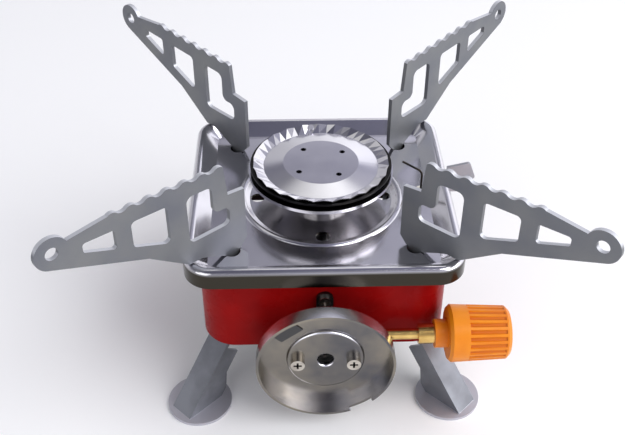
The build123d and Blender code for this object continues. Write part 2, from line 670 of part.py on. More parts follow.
def fluted_rim():
    """The crown's pleated rim: flat facets between crests and troughs, one sheet thick."""
    steps = 2 * FLUTE_COUNT

    def rim_point(k, radius, z):
        turn = radians(360 * k / steps)
        return Vector(radius * cos(turn), radius * sin(turn), z)

    def edge_point(k, z_drop):
        radius, z = (TROUGH_R, TROUGH_Z) if k % 2 else (CREST_R, CREST_Z)
        return rim_point(k, radius, z - z_drop)

    def facet(*corners):
        return Face(Wire(Polyline(*corners, close=True)))

    high = CROWN_VALLEY_Z - FLUTE_SINK
    low = high - FLUTE_SHEET
    faces = []
    for k in range(steps):
        for valley_z, drop in ((high, 0), (low, FLUTE_SHEET)):
            here = rim_point(k, CROWN_VALLEY_R, valley_z)
            after = rim_point(k + 1, CROWN_VALLEY_R, valley_z)
            faces.append(facet(here, after, edge_point(k, drop)))
            faces.append(facet(after, edge_point(k + 1, drop), edge_point(k, drop)))
        faces.append(facet(edge_point(k, 0), edge_point(k + 1, 0),
                           edge_point(k + 1, FLUTE_SHEET), edge_point(k, FLUTE_SHEET)))
        faces.append(facet(rim_point(k, CROWN_VALLEY_R, high), rim_point(k + 1, CROWN_VALLEY_R, high),
                           rim_point(k + 1, CROWN_VALLEY_R, low), rim_point(k, CROWN_VALLEY_R, low)))
    return Solid(Shell(faces))


def rim_tab():
    """Small round tab pressed out of the rim's inner face."""
    middle_r = CROWN_VALLEY_R + TROUGH_REACH * TAB_HEIGHT_SHARE
    middle_z = CROWN_VALLEY_Z + TROUGH_RISE * TAB_HEIGHT_SHARE
    facing = (-TROUGH_RISE, 0, TROUGH_REACH)
    tab = Plane(origin=(middle_r, 0, middle_z), z_dir=facing) * drum(TAB_R, -FLUTE_SHEET, TAB_PROUD)
    return Rot(0, 0, TAB_AZIMUTH) * tab


def burner_crown():
    """Pressed cap with a flat top, a valley and a pleated rim."""
    edge_r = CROWN_VALLEY_R + CROWN_SHEET
    crown = turned([(0, CROWN_FLAT_Z), (CROWN_FLAT_R, CROWN_FLAT_Z), (CROWN_VALLEY_R, CROWN_VALLEY_Z),
                    (edge_r, CROWN_VALLEY_Z), (edge_r, CROWN_VALLEY_Z - CROWN_SHEET),
                    (CROWN_VALLEY_R, CROWN_VALLEY_Z - CROWN_SHEET),
                    (CROWN_FLAT_R, CROWN_FLAT_Z - CROWN_SHEET), (0, CROWN_FLAT_Z - CROWN_SHEET)])
    crown = crown + fluted_rim() + rim_tab()
    hole = Pos(CROWN_HOLE_CIRCLE_R, 0, 0) * drum(CROWN_HOLE_R, 0, CROWN_FLAT_Z + CUT_OVERRUN)
    hole = Rot(0, 0, CROWN_HOLE_AZIMUTH) * hole
    crown -= [Rot(0, 0, 360 * k / CROWN_HOLE_COUNT) * hole for k in range(CROWN_HOLE_COUNT)]
    return Pos(0, 0, TRAY_FLOOR_Z) * crown


def mixing_tube():
    """Tube from the jet up into the bowl, with air windows under the tray."""
    bore = TUBE_R - TUBE_WALL
    top = RECESS_TOP_Z + BOWL_BASE_H
    tube = drum(TUBE_R, TUBE_BOTTOM_Z, top) - drum(bore, TUBE_BOTTOM_Z - CUT_OVERRUN, top + CUT_OVERRUN)
    half_w = TUBE_WINDOW_W / 2
    window = block(-TUBE_R - CUT_OVERRUN, TUBE_R + CUT_OVERRUN, -half_w, half_w,
                   TUBE_WINDOW_BOTTOM_Z, TUBE_WINDOW_BOTTOM_Z + TUBE_WINDOW_H)
    tube -= [window, Rot(0, 0, 90) * window]
    return tube - facing_viewer(drum(PIPE_R + SEAT_GAP, 0, TUBE_R + CUT_OVERRUN), 0, PIPE_HIGH_Z)


def burner_nut():
    """Lock nut that clamps the bowl and tube to the tray."""
    top = RECESS_TOP_Z - TRAY_SHEET
    return hex_nut(NUT_FLATS, top - NUT_H, top, TUBE_R + SEAT_GAP)


def jet_holder():
    """Plug in the tube's foot that takes the gas pipe and the jet."""
    plug = drum(TUBE_R - TUBE_WALL - SEAT_GAP, TUBE_BOTTOM_Z, JET_HOLDER_TOP_Z)
    plug -= facing_viewer(drum(PIPE_R + SEAT_GAP, JET_R, TUBE_R + CUT_OVERRUN), 0, PIPE_HIGH_Z)
    plug -= facing_viewer(drum(PIPE_BORE_R, 0, JET_R + CUT_OVERRUN), 0, PIPE_HIGH_Z)
    return plug - drum(PIPE_BORE_R, PIPE_HIGH_Z, JET_HOLDER_TOP_Z + CUT_OVERRUN)


def gas_jet():
    """Brass jet on top of the holder."""
    tip = JET_HOLDER_TOP_Z + JET_H
    return turned([(JET_BORE_R, JET_HOLDER_TOP_Z), (JET_R, JET_HOLDER_TOP_Z), (JET_R, tip - JET_TIP_R),
                   (JET_TIP_R, tip), (JET_BORE_R, tip)])


def gas_pipe():
    """Pipe from the valve through the front wall to the jet holder."""
    points = [(0, STRAP_FRONT_Y - PIPE_SOCKET_DEPTH + SEAT_GAP, PIPE_LOW_Z),
              (0, PIPE_LOW_END_Y, PIPE_LOW_Z), (0, PIPE_HIGH_START_Y, PIPE_HIGH_Z),
              (0, -JET_R - SEAT_GAP, PIPE_HIGH_Z)]
    return rod(points, PIPE_BEND_R, PIPE_R) - rod(points, PIPE_BEND_R, PIPE_BORE_R)


def pipe_nut():
    """Nut on the pipe against the inside of the front wall."""
    nut = hex_nut(PIPE_NUT_FLATS, -PIPE_NUT_H, 0, PIPE_R + SEAT_GAP)
    return facing_viewer(nut, -HOUSING_INNER, PIPE_LOW_Z)


def valve_strap():
    """Strap between the front wall and the valve, with a round top."""
    round_z = STRAP_TOP_Z - STRAP_HALF_W
    strap = block(-STRAP_HALF_W, STRAP_HALF_W, STRAP_FRONT_Y, -HOUSING_HALF, STRAP_BOTTOM_Z, round_z)
    strap += facing_viewer(drum(STRAP_HALF_W, 0, STRAP_SHEET), -HOUSING_HALF, round_z)
    through = STRAP_SHEET + CUT_OVERRUN
    strap -= facing_viewer(drum(PIPE_HOLE_R, -CUT_OVERRUN, through), -HOUSING_HALF, PIPE_LOW_Z)
    screw_hole = drum(STRAP_SCREW_R + SEAT_GAP, -CUT_OVERRUN, through)
    return strap - facing_viewer(screw_hole, -HOUSING_HALF, STRAP_SCREW_Z)


def cross_recess(top):
    """Cutter for a cross recess in a screw head."""
    bar = block(-RECESS_L / 2, RECESS_L / 2, -RECESS_W / 2, RECESS_W / 2,
                top - SCREW_RECESS_DEPTH, top + CUT_OVERRUN)
    return bar + Rot(0, 0, 90) * bar


def strap_screw():
    """Screw that holds the strap to the wall."""
    screw = drum(STRAP_SCREW_HEAD_R, 0, STRAP_SCREW_HEAD_H) - cross_recess(STRAP_SCREW_HEAD_H)
    screw += drum(STRAP_SCREW_R, -STRAP_SHEET - STRAP_SCREW_TAIL, 0)
    return facing_viewer(screw, STRAP_FRONT_Y, STRAP_SCREW_Z)


def valve_body():
    """Valve block between the strap and the connector."""
    body = block(VALVE_LEFT_X, VALVE_RIGHT_X, VALVE_FRONT_Y, STRAP_FRONT_Y, VALVE_BOTTOM_Z, VALVE_TOP_Z)
    body = fillet(body.edges().filter_by(Axis.Y), VALVE_EDGE_R)
    body -= along_x(drum(SPINDLE_HOLE_R, SPINDLE_IN_X, VALVE_RIGHT_X + CUT_OVERRUN), SPINDLE_Y, SPINDLE_Z)
    well = drum(SPINDLE_R, SPINDLE_IN_X - SPINDLE_TIP_L, SPINDLE_IN_X + CUT_OVERRUN)
    body -= along_x(well, SPINDLE_Y, SPINDLE_Z)
    socket = drum(PIPE_R + SEAT_GAP, -CUT_OVERRUN, PIPE_SOCKET_DEPTH)
    body -= facing_viewer(socket, STRAP_FRONT_Y, PIPE_LOW_Z)
    body -= facing_viewer(drum(INLET_WELL_R, -INLET_DEPTH, CUT_OVERRUN), VALVE_FRONT_Y, CUP_Z)
    thread = facing_viewer(drum(CUP_SCREW_R + SEAT_GAP, -CUP_SCREW_GRIP, CUT_OVERRUN), VALVE_FRONT_Y, CUP_Z)
    return body - [Pos(CUP_SCREW_X, 0, 0) * thread, Pos(-CUP_SCREW_X, 0, 0) * thread]


def valve_gland():
    """Gland nut that holds the spindle in the valve."""
    nut = hex_nut(GLAND_FLATS, VALVE_RIGHT_X, VALVE_RIGHT_X + GLAND_L, SPINDLE_HOLE_R)
    nut -= drum(SEAL_R + SEAT_GAP, VALVE_RIGHT_X - CUT_OVERRUN, VALVE_RIGHT_X + SEAL_L)
    return along_x(nut, SPINDLE_Y, SPINDLE_Z)


def spindle_seal():
    """Rubber ring inside the gland."""
    end = VALVE_RIGHT_X + SEAL_L
    ring = drum(SEAL_R, VALVE_RIGHT_X, end)
    ring -= drum(SPINDLE_HOLE_R, VALVE_RIGHT_X - CUT_OVERRUN, end + CUT_OVERRUN)
    return along_x(ring, SPINDLE_Y, SPINDLE_Z)


def valve_spindle():
    """Brass spindle with a needle tip."""
    point_x = SPINDLE_IN_X + PART_GAP
    end = KNOB_X + KNOB_BORE_L - SEAT_GAP
    spindle = turned([(0, point_x), (SPINDLE_TIP_R, point_x), (SPINDLE_R, point_x + SPINDLE_TIP_L),
                      (SPINDLE_R, end), (0, end)])
    return along_x(spindle, SPINDLE_Y, SPINDLE_Z)


def knob_ferrule():
    """Brass sleeve on the spindle next to the knob."""
    sleeve = drum(FERRULE_R, FERRULE_X, KNOB_X)
    sleeve -= drum(SPINDLE_R + SEAT_GAP, FERRULE_X - CUT_OVERRUN, KNOB_X + CUT_OVERRUN)
    return along_x(sleeve, SPINDLE_Y, SPINDLE_Z)


def knob():
    """Grooved knob with a collar, on the spindle's end."""
    start = KNOB_X + COLLAR_L
    end = start + KNOB_L
    bore = SPINDLE_R + SEAT_GAP
    bore_end = KNOB_X + KNOB_BORE_L
    body = turned([(bore, KNOB_X), (COLLAR_R, KNOB_X), (COLLAR_R, start), (KNOB_R - KNOB_EDGE, start),
                   (KNOB_R, start + KNOB_EDGE), (KNOB_END_R, end - KNOB_DOME),
                   (KNOB_END_R - KNOB_DOME, end), (0, end), (0, bore_end), (bore, bore_end)])
    groove = Pos(KNOB_END_R + GROOVE_PROUD, 0, 0) * drum(GROOVE_R, start + GROOVE_START, start + GROOVE_END)
    body -= [Rot(0, 0, 360 * k / GROOVE_COUNT) * groove for k in range(GROOVE_COUNT)]
    return along_x(body, SPINDLE_Y, SPINDLE_Z)


def connector_cup():
    """Round canister cup with a boss, an inlet, a lug and a gap in its rim."""
    cup = drum(CUP_R, 0, CUP_H) - drum(CUP_R - CUP_WALL, CUP_FLOOR, CUP_H + CUT_OVERRUN)
    cup = fillet(cup.edges().group_by(Axis.Z)[0], CUP_EDGE_R)
    bore = drum(INLET_R, -CUT_OVERRUN, BOSS_TOP + CUT_OVERRUN)
    boss = drum(BOSS_R, 0, BOSS_TOP) - bore
    boss = fillet(boss.edges().group_by(Axis.Z)[-1].sort_by(SortBy.RADIUS)[-1], BOSS_EDGE_R)
    boss = fillet(boss.edges().group_by(Axis.Z)[-1].sort_by(SortBy.RADIUS)[0], INLET_MOUTH_R)
    cup = cup - bore + boss
    gap = block(0, CUP_R + CUT_OVERRUN, -RIM_GAP_W / 2, RIM_GAP_W / 2,
                CUP_H - RIM_GAP_DEPTH, CUP_H + CUT_OVERRUN)
    cup -= Rot(0, 0, RIM_GAP_AZIMUTH) * gap
    lug = Rot(0, -LUG_TILT, 0) * block(-LUG_W, 0, -LUG_L / 2, LUG_L / 2, -LUG_SHEET, 0)
    lug = Rot(0, 0, LUG_AZIMUTH) * Pos(CUP_R - CUP_WALL / 2, 0, CUP_H) * lug
    cup += lug & drum(CUP_R, 0, CUP_H)
    hole = drum(CUP_SCREW_R + SEAT_GAP, -CUT_OVERRUN, BOSS_TOP + CUT_OVERRUN)
    cup -= [Pos(CUP_SCREW_X, 0, 0) * hole, Pos(-CUP_SCREW_X, 0, 0) * hole]
    return facing_viewer(cup, VALVE_FRONT_Y, CUP_Z)


def connector_screw(side):
    """Cross-recess screw through the cup into the valve."""
    top = BOSS_TOP + CUP_SCREW_HEAD_H
    screw = drum(CUP_SCREW_HEAD_R, BOSS_TOP, top) - cross_recess(top)
    screw += drum(CUP_SCREW_R, SEAT_GAP - CUP_SCREW_GRIP, BOSS_TOP)
    return facing_viewer(Pos(side * CUP_SCREW_X, 0, 0) * screw, VALVE_FRONT_Y, CUP_Z)


def inlet_seal():
    """Rubber seal at the bottom of the inlet."""
    bottom = INLET_PIN_FOOT_H - INLET_DEPTH
    ring = drum(INLET_WELL_R - SEAT_GAP, bottom, bottom + INLET_SEAL_H)
    ring -= drum(INLET_SEAL_BORE_R, bottom - CUT_OVERRUN, bottom + INLET_SEAL_H + CUT_OVERRUN)
    return facing_viewer(ring, VALVE_FRONT_Y, CUP_Z)


def inlet_pin():
    """Pin on a round foot that opens the canister's valve."""
    pin = drum(INLET_WELL_R - SEAT_GAP, -INLET_DEPTH, INLET_PIN_FOOT_H - INLET_DEPTH)
    pin += drum(INLET_PIN_R, -INLET_DEPTH, -SEAT_GAP)
    return facing_viewer(pin, VALVE_FRONT_Y, CUP_Z)


def electrode_insulator():
    """Ceramic insulator through the tray and the housing."""
    body = drum(INSULATOR_R, TRAY_FLOOR_Z - INSULATOR_DROP, TRAY_FLOOR_Z + INSULATOR_RISE)
    body += drum(INSULATOR_COLLAR_R, TRAY_FLOOR_Z, TRAY_FLOOR_Z + INSULATOR_COLLAR_H)
    bore_end = TRAY_FLOOR_Z + INSULATOR_RISE + CUT_OVERRUN
    body -= drum(ELECTRODE_R + SEAT_GAP, TRAY_FLOOR_Z + INSULATOR_RISE - ELECTRODE_IN, bore_end)
    return Pos(ELECTRODE_X, ELECTRODE_Y, 0) * body


def igniter_electrode():
    """Bent spark wire from the insulator to the burner's edge."""
    base_z = TRAY_FLOOR_Z + INSULATOR_RISE - ELECTRODE_IN + SEAT_GAP
    points = [(ELECTRODE_X, ELECTRODE_Y, base_z),
              (ELECTRODE_X, ELECTRODE_Y, TRAY_FLOOR_Z + ELECTRODE_BEND_Z),
              (RING_FLANGE_R + SPARK_GAP, ELECTRODE_TIP_Y, TRAY_FLOOR_Z + ELECTRODE_TIP_Z)]
    return rod(points, ELECTRODE_BEND_R, ELECTRODE_R)


def igniter_lead():
    """Insulated lead from the insulator's foot to the piezo body."""
    top = TRAY_FLOOR_Z - INSULATOR_DROP - SEAT_GAP
    points = [(ELECTRODE_X, ELECTRODE_Y, top), (ELECTRODE_X, ELECTRODE_Y, LEAD_Z),
              (ELECTRODE_X, PIEZO_Y - PIEZO_HALF_W - SEAT_GAP, LEAD_Z)]
    return rod(points, LEAD_BEND_R, LEAD_R)


def piezo_body():
    """Piezo igniter's case against the right wall."""
    case = block(HOUSING_INNER - PIEZO_DEPTH, HOUSING_INNER, PIEZO_Y - PIEZO_HALF_W, PIEZO_Y + PIEZO_HALF_W,
                 PIEZO_BOTTOM_Z, PIEZO_TOP_Z)
    case = fillet(case.edges().filter_by(Axis.Z).sort_by(Axis.X)[:2], PIEZO_EDGE_R)
    well = PIEZO_TOP_Z - PLUNGER_IN - PLUNGER_TRAVEL - PART_GAP
    case -= Pos(PLUNGER_X, PIEZO_Y, 0) * drum(PLUNGER_R + RUNNING_GAP, well, PIEZO_TOP_Z + CUT_OVERRUN)
    grip = HOUSING_INNER - PIEZO_SCREW_GRIP
    return case - along_x(drum(PIEZO_SCREW_R + SEAT_GAP, grip, HOUSING_HALF), PIEZO_Y, PIEZO_SCREW_Z)


def piezo_plunger():
    """Plunger that the lever presses."""
    return Pos(PLUNGER_X, PIEZO_Y, 0) * drum(PLUNGER_R, PIEZO_TOP_Z - PLUNGER_IN, PLUNGER_TOP_Z)


def igniter_lever():
    """Sheet lever: a flag beside the tray and an arm through the wall over the plunger."""
    flag_in = TRAY_HALF + PART_GAP
    flag_out = flag_in + LEVER_FLAG_W
    arm_top = PLUNGER_TOP_Z + LEVER_ARM_H
    points = [(PLUNGER_X - PLUNGER_R, PLUNGER_TOP_Z), (PLUNGER_X - PLUNGER_R, arm_top),
              (flag_in, arm_top), (flag_in, LEVER_FLAG_INNER_Z), (flag_out, LEVER_FLAG_OUTER_Z),
              (flag_out + LEVER_FLAG_FLARE, LEVER_FLAG_OUTER_Z - LEVER_FLAG_H),
              (flag_in + LEVER_TOE_W, PLUNGER_TOP_Z)]
    plate = upright_plate(points, LEVER_SHEET)
    plate = fillet(plate.edges().filter_by(Axis.Y).sort_by(Axis.X)[-2:], LEVER_CORNER_R)
    return Pos(0, PIEZO_Y, 0) * plate


def piezo_screw():
    """Screw through the right wall into the piezo body."""
    screw = drum(PIEZO_SCREW_HEAD_R, HOUSING_HALF, HOUSING_HALF + PIEZO_SCREW_HEAD_H)
    screw -= Pos(0, 0, HOUSING_HALF) * cross_recess(PIEZO_SCREW_HEAD_H)
    screw += drum(PIEZO_SCREW_R, HOUSING_INNER - PIEZO_SCREW_GRIP + SEAT_GAP, HOUSING_HALF)
    return along_x(screw, PIEZO_Y, PIEZO_SCREW_Z)


def all_pieces():
    """Every piece under its name."""
    makers = [top_tray, housing, burner_bowl, burner_ring, burner_crown, mixing_tube, burner_nut,
              jet_holder, gas_jet, gas_pipe, pipe_nut, valve_strap, strap_screw, valve_body, valve_gland,
              spindle_seal, valve_spindle, knob_ferrule, knob, connector_cup, inlet_seal, inlet_pin,
              electrode_insulator, igniter_electrode, igniter_lead, piezo_body, piezo_plunger,
              igniter_lever, piezo_screw]
    pieces = {maker.__name__: maker() for maker in makers}
    pieces["connector_screw_left"] = connector_screw(-1)
    pieces["connector_screw_right"] = connector_screw(1)
    one_arm = arm()
    one_retainer = arm_retainer()
    leg_set = {"leg": leg(), "leg_bracket": leg_bracket(), "leg_pin": leg_pin()}
    for corner in CORNER_SIDE_SHARES:
        pieces["arm_" + corner] = on_corner(one_arm, corner)
        pieces["arm_retainer_" + corner] = on_corner(one_retainer, corner)
        for name, shape in leg_set.items():
            pieces[name + "_" + corner] = Rot(0, 0, diagonal_angle(corner)) * shape
    return pieces


os.makedirs("parts", exist_ok=True)
for name, shape in all_pieces().items():
    export_step(shape, "parts/" + name + ".step")
    size = shape.bounding_box().size
    print(f"{name}: {size.X:.1f} x {size.Y:.1f} x {size.Z:.1f}, volume {shape.volume:.0f}")
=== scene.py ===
from math import cos, radians, sin

import bpy
from mathutils import Matrix, Vector

# Camera of the photograph: place in metres, angles in degrees, focal length in pixels
IMAGE_W = 625
CAMERA_PLACE = (-0.0109, -0.2714, 0.2619)
CAMERA_YAW = 1.68
CAMERA_PITCH = 38.11
CAMERA_ROLL = 0.1
CAMERA_FOCAL_PX = 928.3
CAMERA_CLIP_START = 0.01
SENSOR_W = 36.0

# Colours in linear light
ZINC = (0.19, 0.195, 0.20)
ZINC_BLUE = (0.148, 0.155, 0.176)
ZINC_PAINTED_HIGHLIGHT = (0.56, 0.57, 0.61)
ZINC_PALE = (0.46, 0.46, 0.50)
ZINC_PALE_DULL = (0.36, 0.36, 0.40)
LEG_ZINC = (0.27, 0.28, 0.31)
LEG_ZINC_DULL = (0.165, 0.17, 0.19)
FOOT_PAINTED_HIGHLIGHT = (0.50, 0.495, 0.545)
MIRROR = (0.72, 0.71, 0.75)
MIRROR_DULL = (0.64, 0.63, 0.67)
SKIRT_PAINTED_SHADE = (0.047, 0.042, 0.033)
BOWL_PAINTED_SHADE = (0.33, 0.32, 0.32)
RING_PAINTED_SHADE = (0.012, 0.012, 0.014)
RING_PAINTED_SHADE_DULL = (0.022, 0.021, 0.02)
RED = (0.27, 0.0035, 0.0035)
RED_DEEP = (0.20, 0.0025, 0.003)
HOUSING_PAINTED_SHADE = (0.012, 0.006, 0.006)
SATIN = (0.29, 0.262, 0.215)
SATIN_COOL = (0.12, 0.119, 0.128)
SATIN_PAINTED_HIGHLIGHT = (0.85, 0.85, 0.92)
LUG_PAINTED_SHADE = (0.07, 0.07, 0.072)
SCREW = (0.66, 0.62, 0.55)
SCREW_DULL = (0.46, 0.42, 0.37)
RECESS_PAINTED_SHADE = (0.02, 0.02, 0.02)
BRASS = (0.80, 0.56, 0.20)
BRASS_DULL = (0.62, 0.40, 0.13)
ORANGE = (0.76, 0.24, 0.007)
ORANGE_DEEP = (0.70, 0.19, 0.006)
GROOVE_PAINTED_SHADE = (0.60, 0.145, 0.005)
CAST = (0.30, 0.30, 0.30)
CAST_DULL = (0.20, 0.20, 0.20)
DARK_STEEL_AND_SHADE = (0.085, 0.08, 0.08)
DARK_STEEL_AND_SHADE_DULL = (0.05, 0.048, 0.05)
WIRE = (0.018, 0.018, 0.018)
WIRE_RUST = (0.04, 0.032, 0.028)
CERAMIC = (0.80, 0.78, 0.72)
CERAMIC_WARM = (0.72, 0.68, 0.60)
RUBBER = (0.020, 0.020, 0.020)
RUBBER_DUSTY = (0.045, 0.043, 0.040)
FLOOR_WHITE = (0.93, 0.93, 0.93)

# Surroundings: height of the direction, then colour, behind the stove and on the viewer's side
SKY_BEHIND = ((0.10, (0.84, 0.84, 0.87)), (0.50, (0.86, 0.86, 0.92)), (0.53, (0.56, 0.56, 0.64)),
              (0.555, (0.23, 0.23, 0.30)), (0.66, (0.38, 0.38, 0.44)), (0.74, (0.32, 0.32, 0.37)),
              (0.80, (1.05, 1.05, 1.05)), (0.90, (1.05, 1.05, 1.05)), (0.95, (0.18, 0.18, 0.24)))
SKY_BEFORE = ((0.10, (0.80, 0.80, 0.83)), (0.45, (0.34, 0.34, 0.39)), (0.90, (0.14, 0.14, 0.19)))
SKY_BEHIND_FROM_Y = -0.1
SKY_BEHIND_TO_Y = 0.2
SKY_LEFT_X = -0.14
SKY_RIGHT_X = 0.20
SKY_LEFT_LEVEL = 0.74
SKY_RIGHT_LEVEL = 1.6

# Lamps: name, place and size in metres, power in watts
LAMPS = (("key", (1.1, -0.5, 1.0), 1.5, 25.0), ("fill", (-0.9, -1.1, 0.8), 1.2, 6.0))
LAMP_TARGET = (0, 0, 0.05)
FLOOR_SIZE = 12.0
FLOOR_ROUGHNESS = 0.9

# Grain of the materials: how far colour drifts, detail of each noise, how much finer than the colour's
# noise the others are, and the depth of relief in metres
DRIFT_FROM = 0.35
DRIFT_TO = 0.65
COLOUR_DETAIL = 4.0
ROUGHNESS_DETAIL = 6.0
RELIEF_DETAIL = 3.0
ROUGHNESS_FINER = 2.3
RELIEF_FINER = 6.0
RELIEF_DEPTH = 0.0002

# Places on the pieces that take painted shade and painted highlights, in metres
SKIRT_TOP = 0.0625
CUP_AXIS_Z = 0.0299
LUG_FRONT_Y = -0.0557
LUG_REACH = 0.0225
FOOT_TOP = 0.0013
BOWL_LIP_FROM = 0.0700
SCREW_FACE_Y = -0.0564
KNOB_AXIS_Y = -0.0475
KNOB_AXIS_Z = 0.0351
GROOVE_FROM_X = 0.0470
GROOVE_TO_X = 0.0606
GROOVE_REACH = 0.00903
INWARD_BELOW = -0.005

# Directions of the surface at which painted shade or painted highlight begins or is full, as parts of its
# unit normal
SKIRT_LEVEL_FROM = 0.10
SKIRT_LEVEL_TO = 0.80
DOWN_BELOW = -0.5
SCREW_FRONT_BELOW = -0.5
BOWL_OUTSIDE_BELOW = 0.3
EDGE_UP_FROM = 0.25
EDGE_UP_TO = 0.60

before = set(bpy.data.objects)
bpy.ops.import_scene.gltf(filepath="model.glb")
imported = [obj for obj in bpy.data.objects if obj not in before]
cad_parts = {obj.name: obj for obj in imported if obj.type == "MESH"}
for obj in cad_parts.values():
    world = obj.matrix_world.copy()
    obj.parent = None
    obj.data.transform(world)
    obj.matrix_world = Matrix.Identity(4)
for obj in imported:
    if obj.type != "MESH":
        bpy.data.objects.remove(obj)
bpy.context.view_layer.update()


def new_material(name, metallic, roughness, specular=0.5):
    """A Principled material before its detail."""
    material = bpy.data.materials.new(name)
    material.use_nodes = True
    shader = material.node_tree.nodes["Principled BSDF"]
    shader.inputs["Metallic"].default_value = metallic
    shader.inputs["Roughness"].default_value = roughness
    shader.inputs["Specular IOR Level"].default_value = specular
    return material


def noise_value(material, scale, detail):
    """A noise value over the object's own coordinates."""
    nodes = material.node_tree.nodes
    place = nodes.new("ShaderNodeTexCoord")
    noise = nodes.new("ShaderNodeTexNoise")
    noise.inputs["Scale"].default_value = scale
    noise.inputs["Detail"].default_value = detail
    material.node_tree.links.new(place.outputs["Object"], noise.inputs["Vector"])
    return noise.outputs["Fac"]


def colour_between(material, value, first, second):
    """Base colour that drifts between two colours with a value."""
    nodes = material.node_tree.nodes
    links = material.node_tree.links
    ramp = nodes.new("ShaderNodeValToRGB")
    ramp.color_ramp.elements[0].position = DRIFT_FROM
    ramp.color_ramp.elements[0].color = (*first, 1)
    ramp.color_ramp.elements[1].position = DRIFT_TO
    ramp.color_ramp.elements[1].color = (*second, 1)
    links.new(value, ramp.inputs["Fac"])
    links.new(ramp.outputs["Color"], nodes["Principled BSDF"].inputs["Base Color"])


def roughness_between(material, value, low, high):
    """Roughness that drifts between two levels with a value."""
    nodes = material.node_tree.nodes
    links = material.node_tree.links
    span = nodes.new("ShaderNodeMapRange")
    span.inputs["To Min"].default_value = low
    span.inputs["To Max"].default_value = high
    links.new(value, span.inputs["Value"])
    links.new(span.outputs["Result"], nodes["Principled BSDF"].inputs["Roughness"])


def bump(material, value, strength):
    """Small relief from a value."""
    nodes = material.node_tree.nodes
    links = material.node_tree.links
    relief = nodes.new("ShaderNodeBump")
    relief.inputs["Strength"].default_value = strength
    relief.inputs["Distance"].default_value = RELIEF_DEPTH
    links.new(value, relief.inputs["Height"])
    links.new(relief.outputs["Normal"], nodes["Principled BSDF"].inputs["Normal"])


def textured(name, first, second, metallic, rough, scale, relief=0.0, specular=0.5):
    """A material with drifting colour, drifting roughness and a little relief."""
    material = new_material(name, metallic, rough[0], specular)
    colour_between(material, noise_value(material, scale, COLOUR_DETAIL), first, second)
    roughness_between(material, noise_value(material, scale * ROUGHNESS_FINER, ROUGHNESS_DETAIL), *rough)
    if relief:
        bump(material, noise_value(material, scale * RELIEF_FINER, RELIEF_DETAIL), relief)
    return material


def math_node(material, operation, *values):
    """A math node over one or two values, each a socket or a number."""
    node = material.node_tree.nodes.new("ShaderNodeMath")
    node.operation = operation
    for socket, value in zip(node.inputs, values):
        if isinstance(value, (int, float)):
            socket.default_value = value
        else:
            material.node_tree.links.new(value, socket)
    return node.outputs["Value"]


def surface(material):
    """Place and direction of the surface in the object's own axes, as X, Y, Z sockets each."""
    nodes = material.node_tree.nodes
    source = nodes.new("ShaderNodeTexCoord")
    parts = []
    for output in ("Object", "Normal"):
        split = nodes.new("ShaderNodeSeparateXYZ")
        material.node_tree.links.new(source.outputs[output], split.inputs["Vector"])
        parts.append([split.outputs[axis] for axis in "XYZ"])
    return parts


def smooth_step(owner, value, low, high):
    """A value that goes from 0 at low to 1 at high, in the nodes of a material or the world."""
    span = owner.node_tree.nodes.new("ShaderNodeMapRange")
    span.interpolation_type = "SMOOTHSTEP"
    span.inputs["From Min"].default_value = low
    span.inputs["From Max"].default_value = high
    owner.node_tree.links.new(value, span.inputs["Value"])
    return span.outputs["Result"]


def outwardness(material, place, facing):
    """How far the surface looks away from the burner's axis: above 0 outward, below 0 inward."""
    across = math_node(material, "MULTIPLY", place[0], facing[0])
    along = math_node(material, "MULTIPLY", place[1], facing[1])
    return math_node(material, "ADD", across, along)


def tint(material, mask, colour):
    """Bring the base colour to another one where a mask is 1."""
    nodes = material.node_tree.nodes
    links = material.node_tree.links
    shader = nodes["Principled BSDF"]
    plain = shader.inputs["Base Color"].links[0].from_socket
    mix = nodes.new("ShaderNodeMix")
    mix.data_type = "RGBA"
    links.new(mask, mix.inputs["Factor"])
    links.new(plain, mix.inputs["A"])
    mix.inputs["B"].default_value = (*colour, 1)
    links.new(mix.outputs["Result"], shader.inputs["Base Color"])


def reach_from(material, first, second, first_at, second_at):
    """Distance of the surface from an axis, across two of its coordinates."""
    parts = [math_node(material, "POWER", math_node(material, "SUBTRACT", value, at), 2.0)
             for value, at in ((first, first_at), (second, second_at))]
    return math_node(material, "SQRT", math_node(material, "ADD", *parts))


def both(material, first, second):
    """A mask where two masks are 1."""
    return math_node(material, "MULTIPLY", first, second)


def paint_shade_on_skirt(material):
    """Painted shade and reflection: darken the tray's skirt and the walls of its holes, which stand
    upright.
    """
    place, facing = surface(material)
    flatness = math_node(material, "ABSOLUTE", facing[2])
    level = smooth_step(material, flatness, SKIRT_LEVEL_FROM, SKIRT_LEVEL_TO)
    upright = math_node(material, "SUBTRACT", 1.0, level)
    under = math_node(material, "LESS_THAN", place[2], SKIRT_TOP)
    tint(material, both(material, upright, under), SKIRT_PAINTED_SHADE)


def paint_shade_inside(material):
    """Painted shade: leave the housing's inner faces and the faces that look down dark."""
    place, facing = surface(material)
    inward = math_node(material, "LESS_THAN", outwardness(material, place, facing), INWARD_BELOW)
    down = math_node(material, "LESS_THAN", facing[2], DOWN_BELOW)
    tint(material, math_node(material, "MAXIMUM", inward, down), HOUSING_PAINTED_SHADE)


def paint_shade_on_lug(material):
    """Painted shade: darken the lug inside the cup's rim."""
    place, _ = surface(material)
    front = math_node(material, "LESS_THAN", place[1], LUG_FRONT_Y)
    reach = reach_from(material, place[0], place[2], 0.0, CUP_AXIS_Z)
    inside = math_node(material, "LESS_THAN", reach, LUG_REACH)
    tint(material, both(material, front, inside), LUG_PAINTED_SHADE)


def paint_shade_in_recess(material):
    """Painted shade: darken the cross recess, whose floor lies behind the screw's face."""
    place, facing = surface(material)
    behind = math_node(material, "GREATER_THAN", place[1], SCREW_FACE_Y)
    front = math_node(material, "LESS_THAN", facing[1], SCREW_FRONT_BELOW)
    tint(material, both(material, behind, front), RECESS_PAINTED_SHADE)


